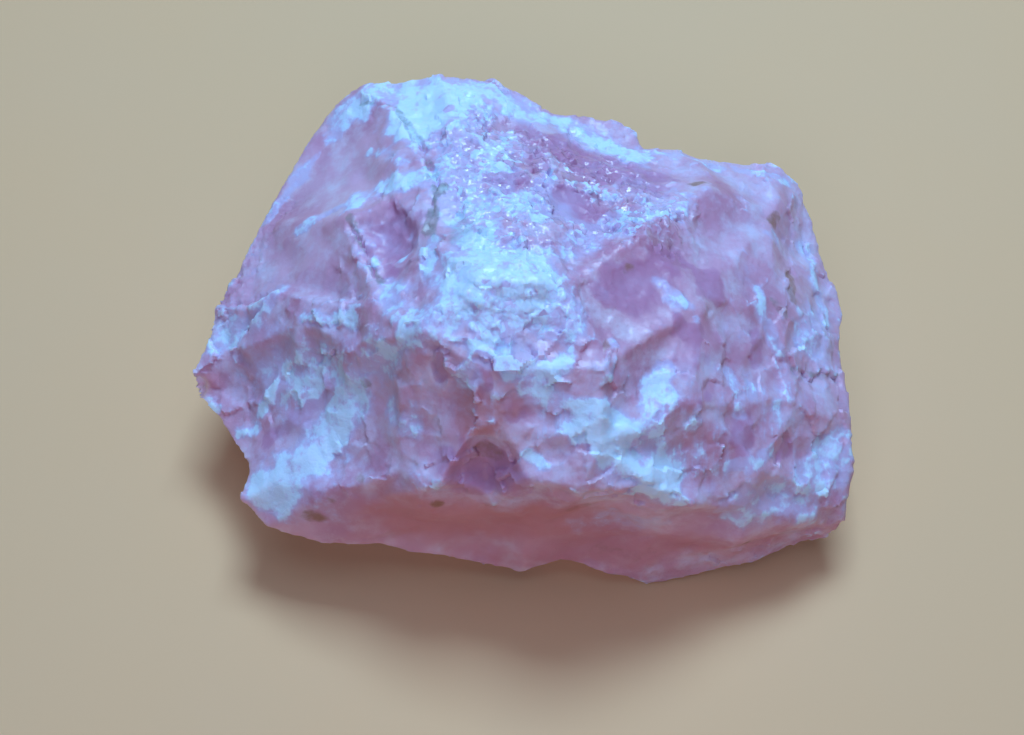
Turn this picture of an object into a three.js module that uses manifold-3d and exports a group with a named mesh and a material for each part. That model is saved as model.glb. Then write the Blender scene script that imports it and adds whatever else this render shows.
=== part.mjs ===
// A fist-sized chunk of rough rose quartz, broken on every side and lying on its flattest fracture.
// Millimetres. +X to the right along the longest side, +Y to the back, +Z up.
// The origin is on the resting face, under the middle of the stone's bounding box.
//
// The stone is one solid. Its corners are placed by hand in named rings, its fractures are loops of those
// corners, and each fracture is hollowed by its own depth, as a conchoidal break is. A slow noise then
// roughens the surface, except on the resting face, and a few struck scars are cut from the edges.

import * as THREE from "three";
import { ImprovedNoise } from "three/addons/math/ImprovedNoise.js";
import { mergeVertices } from "three/addons/utils/BufferGeometryUtils.js";
import Module from "manifold-3d";

// Driving dimensions.
const LENGTH = 85; // along X, which the whole stone is scaled to
const STEPS = 3; // rows of triangles from a fracture's middle to each of its edges
const ROUGH_DEPTH = 0.55; // how far the slow noise moves the surface
const ROUGH_SIZE = 7; // the length of one swell of that noise
const FLAT_HEIGHT = 3; // the noise fades out over this height above the resting face
const SCAR_SEGMENTS = 20;
const WELD = 1e-3; // vertices nearer than this are one

// The corners of the stone, each [x, y, z].
const CORNERS = {
  // The rim: the widest outline, clockwise from the west tip as seen from above.
  r: [
    [-43, -5, 16],
    [-40, 2.5, 18.5],
    [-34, 14.5, 20.5],
    [-26.7, 30.8, 23],
    [-21.3, 33.2, 26],
    [-10.5, 32.4, 29],
    [-3.5, 32.4, 28.5],
    [3.5, 28.7, 26],
    [14, 26.5, 25],
    [15.5, 23, 25],
    [23, 22, 25],
    [34.5, 23, 21.5],
    [37, 20, 20],
    [39.5, 11.7, 18],
    [42.1, 3, 17],
    [41, -2, 16.5],
    [41.7, -12.5, 15],
    [40.3, -19.5, 12],
    [39.7, -22.7, 7],
    [39.2, -22.6, 3],
    [25.5, -26.5, 1],
    [16, -28, 0],
    [14, -27.5, 2],
    [4.5, -26.5, 5],
    [-0.5, -27.5, 3],
    [-10.5, -26, 6.5],
    [-22.5, -26, 9],
    [-33, -25, 11],
    [-35.9, -21.7, 13],
    [-35.2, -16.8, 13],
    [-38, -12, 12],
    [-42, -7, 12.5],
  ],
  // The crown: the corners of the upper fractures.
  t: [
    [-15.5, 22.5, 31.5],
    [-10.5, 8.5, 37],
    [-11, 1, 38],
    [-22, 8, 31.5],
    [-17, -6.5, 34.5],
    [-37, 1, 20.5],
    [-31, 1, 25.5],
    [-23, -3.5, 31],
    [-37, -3.5, 18.5],
    [-27, -5, 27],
    [-21.5, -9, 30],
    [-35, -10, 14.5],
    [-29, -8.5, 21],
    [-21.5, -12.5, 25],
    [-12, -11.5, 38],
    [-5, -6.5, 42],
    [4, -6.5, 40],
    [13.5, 2.5, 36.5],
    [22.5, 13, 31],
    [2.5, 10, 36],
    [-8, 20, 33.5],
    [8.5, -15.5, 36.5],
    [-5, -16.5, 37],
    [21, -4.5, 33],
    [31.5, -0.5, 26],
    [31.5, 12, 26],
    [19.5, -16.5, 30],
    [34, -12, 21.5],
    [28.5, -21, 20.5],
    [-15, -18.5, 26.5],
    [-6.5, -20.5, 31],
    [-2.5, -20.5, 31.5],
    [8.5, -22, 31],
    [-23, -22.5, 19],
    [-14, -22.5, 23.5],
    [-10, -25.5, 25.5],
    [1, -25.5, 27.5],
    [6.5, -26.5, 27.5],
    [14.5, -26, 25.5],
    [27, -24.5, 16.5],
    [34.5, -23.5, 11],
    [-31.5, -20.5, 15.5],
    [-23.5, -16, 21],
    [-15.5, 9.5, 34],
    [12, 14, 31],
  ],
  // The brow: the middle of the steep front.
  f: [
    [-4, -25.5, 22],
    [-11.5, -25, 14],
    [2, -25.5, 14.5],
    [14.5, -25.5, 11],
  ],
  // The belly: below the rim at the back and the east side, clockwise from the west.
  m: [
    [-37, 2, 8],
    [-33, 17, 10],
    [-21, 31, 12],
    [-4, 33.5, 12],
    [13, 29, 10],
    [32, 24, 11],
    [41, 9, 8],
    [40.5, -8, 7],
    [39, -18, 4],
  ],
  // The keel: where the underside turns in to the foot, clockwise from the west.
  k: [
    [-30, -3, 4.5],
    [-28, 12, 4],
    [-16, 26, 5],
    [2, 28, 4],
    [22, 22, 4.5],
    [34, 12, 3.5],
    [37, -7, 3],
    [34, -19, 1.5],
    [-13, -22, 4],
    [-26, -14, 5.5],
  ],
  // The foot: the outline of the resting face, clockwise from the west. Corner r22 is on it too.
  b: [
    [-21, -4, 0],
    [-18.5, 6.5, 0],
    [-11, 17.5, 0],
    [2, 18, 0],
    [17, 16.5, 0],
    [25.5, 4, 0],
    [31.5, -7, 0],
    [26, -20, 0],
    [4.5, -20, 0],
    [-7, -18.5, 0],
    [-15.5, -11, 0],
  ],
};

// The fractures: how deep each is hollowed, and its corners anticlockwise as seen from outside.
const FRACTURES = [
  // the smooth north-west slope, in two sheets
  [1.2, "r3 t4 t44 t1 r5 r4"],
  [1.4, "r3 r2 t6 t7 t8 t5 t4"],
  // the hollow between the two cracks beside it
  [1.6, "t4 t5 t3 t44"],
  [0.4, "t44 t3 t2 t1"],
  [0.4, "t5 t15 t3"],
  // the summit, which leans to the back
  [0.8, "t1 t2 t21 r6 r5"],
  [0.5, "t2 t3 t16 t20 t21"],
  [0.3, "t3 t15 t16"],
  [0.4, "t21 r7 r6"],
  [0.6, "t21 t20 r8 r7"],
  [0.3, "t20 t16 t17"],
  // the sugary north-east slope
  [0.9, "t20 t17 t18 t45"],
  [0.6, "t45 t18 t19 r11 r10"],
  [0.6, "t20 t45 r10 r9 r8"],
  // the south slope below the summit
  [0.5, "t15 t23 t16"],
  [0.9, "t16 t23 t22 t17"],
  [1.0, "t17 t22 t24 t18"],
  [0.7, "t22 t23 t32 t33"],
  [0.3, "t23 t31 t32"],
  [0.8, "t22 t33 t27 t24"],
  // the east slope
  [0.7, "t18 t24 t26 t19"],
  [0.5, "t19 t26 r12 r11"],
  [0.4, "t26 r13 r12"],
  [0.7, "t26 t25 r14 r13"],
  [0.5, "t24 t25 t26"],
  [0.6, "t25 r16 r15 r14"],
  [0.8, "t24 t27 t28 t25"],
  [0.7, "t25 t28 r17 r16"],
  [0.6, "t27 t29 t28"],
  [0.6, "t28 t29 r18 r17"],
  [0.5, "t29 t40 t41 r19 r18"],
  [0.9, "t27 t33 t39 t40 t29"],
  [0.5, "t33 t38 t39"],
  [0.6, "t33 t32 t37 t38"],
  // the steps down to the west tip, and the glassy dish beside it
  [0.4, "t8 t11 t5"],
  [0.4, "t5 t11 t15"],
  [0.8, "t11 t14 t30 t15"],
  [0.6, "t15 t30 t31 t23"],
  [0.3, "t7 t10 t8"],
  [0.3, "t8 t10 t11"],
  [0.7, "t6 t9 t10 t7"],
  [0.5, "r2 r1 t9 t6"],
  [2.0, "r1 r32 t12 t13 t10 t9"],
  [0.9, "t10 t13 t14 t11"],
  // the south-west shelf
  [0.5, "t13 t12 t43 t14"],
  [0.9, "t12 r32 r31 r30 t42 t43"],
  [0.3, "r30 r29 t42"],
  [0.4, "t42 r29 r28 t34"],
  [0.7, "t43 t42 t34 t35"],
  [0.5, "t43 t35 t30 t14"],
  [0.5, "t30 t35 t36 t31"],
  // the scallop that bites up into the south slope
  [1.8, "t31 t36 f1 t37 t32"],
  // the steep front
  [0.6, "t34 r28 r27 f2 t36 t35"],
  [0.3, "f2 r27 r26"],
  [0.2, "t36 f2 f1"],
  [0.7, "f1 f2 r26 r25 f3"],
  [0.4, "f1 f3 t38 t37"],
  [0.5, "f3 r25 r24 f4"],
  [0.4, "f4 r24 r23 r22"],
  [0.7, "t38 f3 f4 t39"],
  [0.8, "t39 f4 r22 r21 t40"],
  [0.5, "t40 r21 r20 t41"],
  [0.2, "t41 r20 r19"],
  // the west side and the back, above the belly
  [0.4, "r1 r2 m1"],
  [0.9, "r2 r3 m2 m1"],
  [1.2, "r3 r4 m3 m2"],
  [1.4, "r4 r5 r6 m4 m3"],
  [1.2, "r6 r7 r8 m5 m4"],
  [0.3, "r8 r9 m5"],
  [0.4, "r9 r10 r11 m5"],
  [1.0, "r11 r12 m6 m5"],
  [0.3, "r12 r13 m6"],
  [1.0, "r13 r14 m7 m6"],
  [0.5, "r14 r15 r16 m7"],
  [0.7, "r16 r17 m8 m7"],
  [0.5, "r17 r18 m9 m8"],
  [0.3, "r18 r19 r20 m9"],
  // the underside, down to the keel
  [0.3, "r20 r21 b8 k8 m9"],
  [0.2, "r21 r22 b8"],
  [0.6, "m1 m2 k2 k1"],
  [0.8, "m2 m3 k3 k2"],
  [0.8, "m3 m4 k4 k3"],
  [0.4, "m4 m5 k4"],
  [0.8, "m5 m6 k5 k4"],
  [0.7, "m6 m7 k6 k5"],
  [0.6, "m7 m8 k7 k6"],
  [0.3, "m8 m9 k8 k7"],
  [0.7, "r32 r1 m1 k1"],
  [0.8, "r31 r32 k1 k10"],
  [0.3, "r30 r31 k10"],
  [0.3, "r29 r30 k10"],
  [0.7, "r28 r29 k10 k9"],
  [0.5, "r27 r28 k9"],
  // and from the keel to the foot
  [0.4, "k1 k2 b2 b1"],
  [0.5, "k2 k3 b3 b2"],
  [0.5, "k3 k4 b4 b3"],
  [0.5, "k4 k5 b5 b4"],
  [0.4, "k5 k6 b6 b5"],
  [0.4, "k6 k7 b7 b6"],
  [0.3, "k7 k8 b8 b7"],
  [0.4, "k10 k1 b1 b11"],
  [0.5, "k9 k10 b11 b10"],
  [0.6, "r26 r27 k9 b10 b9"],
  [0.3, "r25 r26 b9"],
  [0.3, "r24 r25 b9"],
  [0.2, "r23 r24 b9"],
  [0.2, "r22 r23 b9"],
  // the resting face, which stays flat
  [0, "b1 b2 b3 b4 b5 b6 b7 b8 r22 b9 b10 b11"],
];

// A corner by its ring and number, such as "r7".
function corner(name) {
  return new THREE.Vector3(...CORNERS[name[0]][Number(name.slice(1)) - 1]);
}

// The outward unit normal of a loop that may be a little twisted, by Newell's method.
function loopNormal(loop) {
  const normal = new THREE.Vector3();
  loop.forEach((p, i) => {
    const q = loop[(i + 1) % loop.length];
    normal.add(new THREE.Vector3().crossVectors(p, q));
  });
  return normal.normalize();
}

// One fracture as triangles: a fan from its middle, each blade cut into rows, sunk as a round dish that
// is deepest in the middle and meets the edges steeply.
function fracture(depth, names) {
  const loop = names.split(" ").map(corner);
  const middle = loop
    .reduce((sum, p) => sum.add(p), new THREE.Vector3())
    .divideScalar(loop.length);
  const inwards = loopNormal(loop).negate();
  const triangles = [];
  loop.forEach((a, i) => {
    const b = loop[(i + 1) % loop.length];
    const point = (row, column) => {
      const share = row / STEPS; // 0 in the middle and 1 on the edge
      const along = row ? column / row : 0;
      return middle
        .clone()
        .lerp(a.clone().lerp(b, along), share)
        .addScaledVector(inwards, depth * (1 - share * share));
    };
    for (let row = 0; row < STEPS; row++)
      for (let column = 0; column <= row; column++) {
        triangles.push(point(row, column), point(row + 1, column), point(row + 1, column + 1));
        if (column < row)
          triangles.push(point(row, column), point(row + 1, column + 1), point(row, column + 1));
      }
  });
  return triangles;
}

// The slow noise at a point: a nudge that is the same wherever two fractures share the point.
const noise = new ImprovedNoise();
function roughened(p) {
  const fade = THREE.MathUtils.smoothstep(p.z, 0, FLAT_HEIGHT);
  const nudge = [0, 1, 2].map(
    (axis) =>
      noise.noise(p.x / ROUGH_SIZE + 31 * axis, p.y / ROUGH_SIZE + 17 * axis, p.z / ROUGH_SIZE) *
      ROUGH_DEPTH *
      2,
  );
  return p.clone().addScaledVector(new THREE.Vector3(...nudge), fade);
}

// A closed geometry's solid, and the other way round.
const wasm = await Module();
wasm.setup();

function solidOf(geometry) {
  const bare = new THREE.BufferGeometry().setAttribute("position", geometry.getAttribute("position"));
  if (geometry.index) bare.setIndex(geometry.index);
  const merged = mergeVertices(bare, WELD);
  return new wasm.Manifold(
    new wasm.Mesh({
      numProp: 3,
      vertProperties: merged.attributes.position.array,
      triVerts: new Uint32Array(merged.index.array),
    }),
  );
}

function geometryOf(solid) {
  const { vertProperties, triVerts } = solid.getMesh();
  return new THREE.BufferGeometry()
    .setAttribute("position", new THREE.BufferAttribute(vertProperties, 3))
    .setIndex(new THREE.BufferAttribute(triVerts, 1));
}

// The scars: where a flake was struck off, as the ball whose surface the break follows. Each has its
// middle, its radius, and how far it is flattened along Z.
const SCARS = [
  { at: [-44, -22, 3], radius: 11, flat: 0.8 },
  { at: [11, 44, 14], radius: 15.5, flat: 0.8 },
  { at: [-31, 37, 12], radius: 11, flat: 0.9 },
  { at: [48, 8, 6], radius: 9, flat: 1.0 },
];

function scarSolid({ at, radius, flat }) {
  const ball = new THREE.SphereGeometry(radius, SCAR_SEGMENTS, SCAR_SEGMENTS / 2);
  ball.scale(1, 1, flat).translate(...at);
  return solidOf(ball);
}

function stoneGeometry() {
  const block = new THREE.BufferGeometry().setFromPoints(
    FRACTURES.flatMap(([depth, names]) => fracture(depth, names)).map(roughened),
  );
  const struck = SCARS.reduce((stone, scar) => stone.subtract(scarSolid(scar)), solidOf(block));
  const geometry = geometryOf(struck);
  geometry.computeBoundingBox();
  const { min, max } = geometry.boundingBox;
  const scale = LENGTH / (max.x - min.x);
  return geometry
    .translate(-(min.x + max.x) / 2, -(min.y + max.y) / 2, -min.z)
    .scale(scale, scale, scale);
}

const stone = new THREE.Mesh(
  stoneGeometry(),
  new THREE.MeshStandardMaterial({ color: 0xd9a3ad, roughness: 0.35, metalness: 0 }),
);
stone.name = "rose_quartz_chunk";

const chunk = new THREE.Group();
chunk.add(stone);

export default chunk;
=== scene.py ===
"""The looks of a hand-sized chunk of rough rose quartz, built around its CAD frame.

The stone's copy is remeshed finely and sculpted by the listed mounds, scarps, flakes, cracks and
facets. A Geometry Nodes relief then breaks the surface into scoops, chips and sugary grain. Skin zones
painted on the mesh tell the one material where the quartz is frosted, glassy, stained or grainy, and
where sheen and shade are painted into its colour.
"""

import logging
import math
from dataclasses import dataclass, field, fields
from enum import Enum

import bpy
import numpy as np
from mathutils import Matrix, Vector
from mathutils.bvhtree import BVHTree


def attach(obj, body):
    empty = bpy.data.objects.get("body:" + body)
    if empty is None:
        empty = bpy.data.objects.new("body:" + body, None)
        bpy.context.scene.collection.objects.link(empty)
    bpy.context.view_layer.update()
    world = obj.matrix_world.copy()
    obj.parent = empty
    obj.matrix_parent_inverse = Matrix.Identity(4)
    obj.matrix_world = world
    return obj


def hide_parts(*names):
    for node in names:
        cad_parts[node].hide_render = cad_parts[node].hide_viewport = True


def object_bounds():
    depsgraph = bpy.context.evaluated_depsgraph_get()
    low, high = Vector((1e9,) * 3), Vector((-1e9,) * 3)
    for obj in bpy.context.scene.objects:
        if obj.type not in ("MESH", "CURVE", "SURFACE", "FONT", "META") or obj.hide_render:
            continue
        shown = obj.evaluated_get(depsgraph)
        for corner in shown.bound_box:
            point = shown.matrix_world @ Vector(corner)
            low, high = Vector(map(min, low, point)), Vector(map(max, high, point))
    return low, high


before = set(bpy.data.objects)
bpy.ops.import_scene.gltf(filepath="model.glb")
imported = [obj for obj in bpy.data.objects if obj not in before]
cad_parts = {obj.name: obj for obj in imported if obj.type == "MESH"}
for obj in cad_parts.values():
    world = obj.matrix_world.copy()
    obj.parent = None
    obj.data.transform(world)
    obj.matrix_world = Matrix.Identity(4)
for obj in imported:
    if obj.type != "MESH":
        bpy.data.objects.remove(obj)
cad_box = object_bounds()

LOG = logging.getLogger("rose_quartz")
NODE = "rose_quartz_chunk"
BODY = "root"
EDGE = "edge"
MM = 0.001
FULL_TURN = 2 * math.pi
FAR = 99.0

Socket = bpy.types.NodeSocket
Piece = bpy.types.Object
Span = tuple[float, float]
Line = tuple[Span, ...]
Triple = tuple[float, float, float]
Colour = tuple[float, float, float, float]


class Side(Enum):
    """A side to place marks from: its two shares' axes, the axis it looks along, and which way."""

    TOP = (0, 1, 2, -1)
    FRONT = (0, 2, 1, 1)


class Skin(Enum):
    """What the painted zones say about the quartz and the sheen and shade painted on it, each kept as a
    point attribute of that name.
    """

    FROST = "frost"
    GLASS = "glass"
    GRAIN = "grain"
    HACKLE = "hackle"
    IRON = "iron"
    DIRT = "dirt"
    BLUSH = "blush"
    STREAK = "streak"
    GLINT = "glint"


@dataclass(frozen=True)
class Oval:
    """A soft oval of one skin, centred where a line from its side meets the stone.

    across and up are shares of the box along the side's own two axes, the sizes are in millimetres, and
    turn is in degrees. The other marks are placed in the same way.
    """

    across: float
    up: float
    long: float
    wide: float
    amount: float = 1.0
    turn: float = 0.0
    side: Side = Side.TOP


@dataclass(frozen=True)
class Stroke:
    """A band of one skin along a line of shares, width wide in millimetres."""

    line: Line
    width: float
    amount: float = 1.0
    side: Side = Side.TOP


@dataclass(frozen=True)
class Scarp:
    """A broken edge along a line: the ground on its left drops by depth and climbs back over reach."""

    line: Line
    depth: float
    reach: float
    side: Side = Side.TOP


@dataclass(frozen=True)
class Crack:
    """An open crack along a line of shares, cut depth deep and width wide, in millimetres."""

    line: Line
    depth: float
    width: float
    side: Side = Side.TOP


@dataclass(frozen=True)
class Flake:
    """A ragged plate that stands proud of the stone, or with a negative height a pit left by one."""

    across: float
    up: float
    long: float
    wide: float
    height: float
    turn: float = 0.0
    tilt: float = 0.0
    side: Side = Side.TOP


@dataclass(frozen=True)
class Facet:
    """A small flat cleavage, placed from the top, which faces straight up whatever the slope is."""

    across: float
    up: float
    wide: float
    spread: float = 1.3

    def skin(self, amount: float) -> Oval:
        """Returns the patch of a skin that covers the facet and spreads a little past it."""
        size = self.wide * self.spread
        return Oval(self.across, self.up, size, size, amount)


@dataclass(frozen=True)
class Mound:
    """A smooth swelling of the ground, or with a negative height a hollow."""

    across: float
    up: float
    long: float
    wide: float
    height: float
    turn: float = 0.0
    side: Side = Side.TOP


def smoothstep(low: float, high: float, values: np.ndarray) -> np.ndarray:
    """Rises smoothly from 0 at low to 1 at high."""
    share = np.clip((values - low) / (high - low), 0.0, 1.0)
    return share * share * (3.0 - 2.0 * share)


class Surface:
    """The stone's working mesh: arrays of its points and normals, in millimetres, and rays to it."""

    def __init__(self, mesh: bpy.types.Mesh) -> None:
        """Reads the mesh and builds the tree that rays are cast through.

        Args:
            mesh: The closed mesh to work on, in metres.
        """
        self.mesh = mesh
        self.count = len(mesh.vertices)
        self.points = self._read(mesh.vertices, "co") / MM
        self.normals = self._read(mesh.vertex_normals, "vector")
        self.low = self.points.min(axis=0)
        self.size = np.ptp(self.points, axis=0)
        faces = [tuple(face.vertices) for face in mesh.polygons]
        self.rays = BVHTree.FromPolygons(self.points.tolist(), faces)

    def _read(self, source: bpy.types.bpy_prop_collection, name: str) -> np.ndarray:
        """Returns one vector property of every vertex as rows of an array."""
        flat = np.zeros(self.count * 3, np.float32)
        source.foreach_get(name, flat)
        return flat.reshape(-1, 3).astype(float)

    def spot(self, side: Side, across: float, up: float) -> tuple[np.ndarray, np.ndarray]:
        """Finds where a line from a side meets the stone.

        Args:
            side: The side that the line comes from.
            across: Share of the box along the side's first axis.
            up: Share of the box along the side's second axis.

        Returns:
            The point on the surface and the outward normal there.
        """
        first, second, along, sign = side.value
        start = self.low + self.size / 2
        start[first] = self.low[first] + across * self.size[first]
        start[second] = self.low[second] + up * self.size[second]
        start[along] -= sign * self.size[along]
        way = np.zeros(3)
        way[along] = sign
        hit, normal, _, _ = self.rays.ray_cast(Vector(start), Vector(way))
        if hit is None:
            hit, normal, _, _ = self.rays.find_nearest(Vector(start + way * self.size[along] / 2))
        return np.array(hit), np.array(normal)

    def tangents(self, side: Side, normal: np.ndarray, turn: float) -> tuple[np.ndarray, np.ndarray]:
        """Gives two directions in the surface, the first turned from the side's first axis.

        Args:
            side: The side whose first axis is the start.
            normal: The surface's outward normal.
            turn: Degrees anticlockwise as seen from outside.

        Returns:
            The long and the wide direction, both unit vectors.
        """
        base = np.zeros(3)
        base[side.value[0]] = 1.0
        base -= normal * (base @ normal)
        base /= np.linalg.norm(base)
        square = np.cross(normal, base)
        angle = math.radians(turn)
        long_way = base * math.cos(angle) + square * math.sin(angle)
        return long_way, np.cross(normal, long_way)

    def push(self, heights: np.ndarray) -> None:
        """Moves every point along its normal by its height in millimetres."""
        self.points += self.normals * heights[:, None]

    def write(self) -> None:
        """Writes the points back to the mesh, in metres."""
        self.mesh.vertices.foreach_set("co", (self.points * MM).astype(np.float32).ravel())
        self.mesh.update()

    def store(self, name: str, values: np.ndarray) -> None:
        """Keeps one number for each point as a named attribute."""
        layer = self.mesh.attributes.new(name, "FLOAT", "POINT")
        layer.data.foreach_set("value", values.astype(np.float32))


class Wobble:
    """A smooth seeded noise of summed waves, which makes the marks' outlines ragged."""

    def __init__(self, seed: int, size: float, waves: int = 24, span: float = 4.0) -> None:
        """Draws the waves.

        Args:
            seed: Fixes the waves.
            size: The length of the longest swell in millimetres.
            waves: How many waves are summed.
            span: How many times longer the longest wave is than the shortest.
        """
        draw = np.random.default_rng(seed)
        ways = draw.normal(size=(waves, 3))
        ways /= np.linalg.norm(ways, axis=1)[:, None]
        lengths = size / np.geomspace(1.0, span, waves)
        self.ways = ways * (FULL_TURN / lengths)[:, None]
        self.shifts = draw.uniform(0.0, FULL_TURN, waves)
        self.weights = lengths / size
        self.weights /= np.sqrt((self.weights**2).sum() / 2)

    def at(self, points: np.ndarray) -> np.ndarray:
        """Returns the noise at each point, with a spread of about one."""
        return np.sin(points @ self.ways.T + self.shifts) @ self.weights


@dataclass
class Sculptor:
    """Cuts the listed marks into the surface, each in the stone's own surface directions.

    crisp, tatter and the wanders are in millimetres, and the rest are shares of a mark's own size.
    """

    surface: Surface
    ragged: float = 0.22
    taper: float = 0.25
    crisp: float = 0.5
    tatter: float = 0.5
    most_tatter: float = 0.3
    thickness: float = 0.6
    scarp_wander: float = 0.35
    crack_wander: float = 0.25
    paint_rim: Span = (0.6, 1.3)
    facet_rim: Span = (0.8, 1.2)
    wobbles: tuple[Wobble, ...] = field(default_factory=lambda: (Wobble(5, 8.0), Wobble(6, 3.6)))

    def oval(self, mark: Oval | Flake | Mound) -> tuple[np.ndarray, np.ndarray]:
        """Measures every point from a mark's middle.

        Args:
            mark: The oval, flake or mound to measure from.

        Returns:
            How far out each point is, where 1 is the oval's edge, and its offset along the oval as a
            share of half the oval's length.
        """
        middle, normal = self.surface.spot(mark.side, mark.across, mark.up)
        long_way, wide_way = self.surface.tangents(mark.side, normal, mark.turn)
        apart = self.surface.points - middle
        along = apart @ long_way / (mark.long / 2)
        beside = apart @ wide_way / (mark.wide / 2)
        away = apart @ normal / (max(mark.long, mark.wide) * self.thickness)
        return np.sqrt(along**2 + beside**2 + away**2), along

    def flake(self, mark: Flake) -> None:
        """Raises or sinks one flake with a ragged, crisp rim."""
        out, along = self.oval(mark)
        coarse, fine = self.wobbles
        points = self.surface.points
        near = out < 2.0
        edge = np.full(self.surface.count, FAR)
        edge[near] = out[near] + self.ragged * (coarse.at(points[near]) + 0.5 * fine.at(points[near]))
        inside = 1.0 - smoothstep(1.0 - self.crisp / 2, 1.0 + self.crisp / 2, edge)
        self.surface.push(inside * (mark.height + mark.tilt * along * mark.long / 2))

    def facet(self, mark: Facet) -> None:
        """Levels one small cleavage."""
        middle, _ = self.surface.spot(Side.TOP, mark.across, mark.up)
        apart = self.surface.points - middle
        inside = 1.0 - smoothstep(*self.facet_rim, np.linalg.norm(apart, axis=1) / (mark.wide / 2))
        self.surface.points[:, 2] -= inside * apart[:, 2]

    def mound(self, mark: Mound) -> None:
        """Raises or sinks one smooth swelling."""
        out, _ = self.oval(mark)
        self.surface.push(mark.height * np.exp(-(out**2)))

    def line_offsets(self, mark: Scarp | Crack | Stroke) -> tuple[np.ndarray, np.ndarray]:
        """Measures every point from a line laid on the surface.

        Args:
            mark: The scarp, crack or stroke whose line is used.

        Returns:
            The signed distance, positive on the line's left as seen from outside, and the share of full
            strength, which fades to nothing past both ends.
        """
        spots = [self.surface.spot(mark.side, across, up) for across, up in mark.line]
        points = self.surface.points
        best = np.full(self.surface.count, np.inf)
        signed = np.zeros(self.surface.count)
        share = np.zeros(self.surface.count)
        steps = len(spots) - 1
        for index in range(steps):
            (start, start_normal), (end, end_normal) = spots[index], spots[index + 1]
            way = end - start
            length = np.linalg.norm(way)
            way /= length
            left = np.cross(start_normal + end_normal, way)
            left /= np.linalg.norm(left)
            apart = points - start
            run = np.clip(apart @ way, 0.0, length)
            offset = apart - run[:, None] * way
            distance = np.linalg.norm(offset, axis=1)
            closer = distance < best
            best = np.where(closer, distance, best)
            signed = np.where(closer, np.sign(offset @ left) * distance, signed)
            share = np.where(closer, (index + run / length) / steps, share)
        ends = smoothstep(0.0, self.taper, share) * (1.0 - smoothstep(1.0 - self.taper, 1.0, share))
        return signed, ends

    def scarp(self, mark: Scarp) -> None:
        """Drops the ground beside one broken edge."""
        signed, ends = self.line_offsets(mark)
        near = np.abs(signed) < mark.reach * 3
        shifted = signed.copy()
        shifted[near] += self.scarp_wander * self.wobbles[1].at(self.surface.points[near])
        low_side = smoothstep(-self.crisp / 2, self.crisp / 2, shifted)
        fall = np.exp(-np.maximum(shifted, 0.0) / mark.reach)
        self.surface.push(-mark.depth * ends * low_side * fall)

    def crack(self, mark: Crack) -> None:
        """Cuts one open crack."""
        signed, ends = self.line_offsets(mark)
        near = np.abs(signed) < mark.width * 4
        shifted = np.full(self.surface.count, FAR)
        shifted[near] = signed[near] + self.crack_wander * self.wobbles[1].at(self.surface.points[near])
        self.surface.push(-mark.depth * ends * np.exp(-((shifted / mark.width) ** 2)))

    def cover(self, mark: Oval | Stroke) -> np.ndarray:
        """Returns how fully a painted mark covers each point, with a ragged outline."""
        if isinstance(mark, Oval):
            out, _ = self.oval(mark)
            half = min(mark.long, mark.wide) / 2
        else:
            signed, _ = self.line_offsets(mark)
            half = mark.width / 2
            out = np.abs(signed) / half
        near = out < 2.5
        coarse, fine = self.wobbles
        points = self.surface.points[near]
        tatter = min(self.tatter / half, self.most_tatter)
        out[near] += tatter * (coarse.at(points) + 0.7 * fine.at(points))
        return 1.0 - smoothstep(*self.paint_rim, out)

    def paint(self, skins: dict[Skin, tuple], base: dict[Skin, float]) -> None:
        """Paints every skin's marks over its base amount and keeps them as attributes.

        Args:
            skins: Each skin's marks, painted in order.
            base: How much of each skin the stone has away from its marks.
        """
        for skin in Skin:
            amount = np.full(self.surface.count, base.get(skin, 0.0))
            for mark in skins.get(skin, ()):
                amount += self.cover(mark) * (mark.amount - amount)
            self.surface.store(skin.value, amount)


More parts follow.
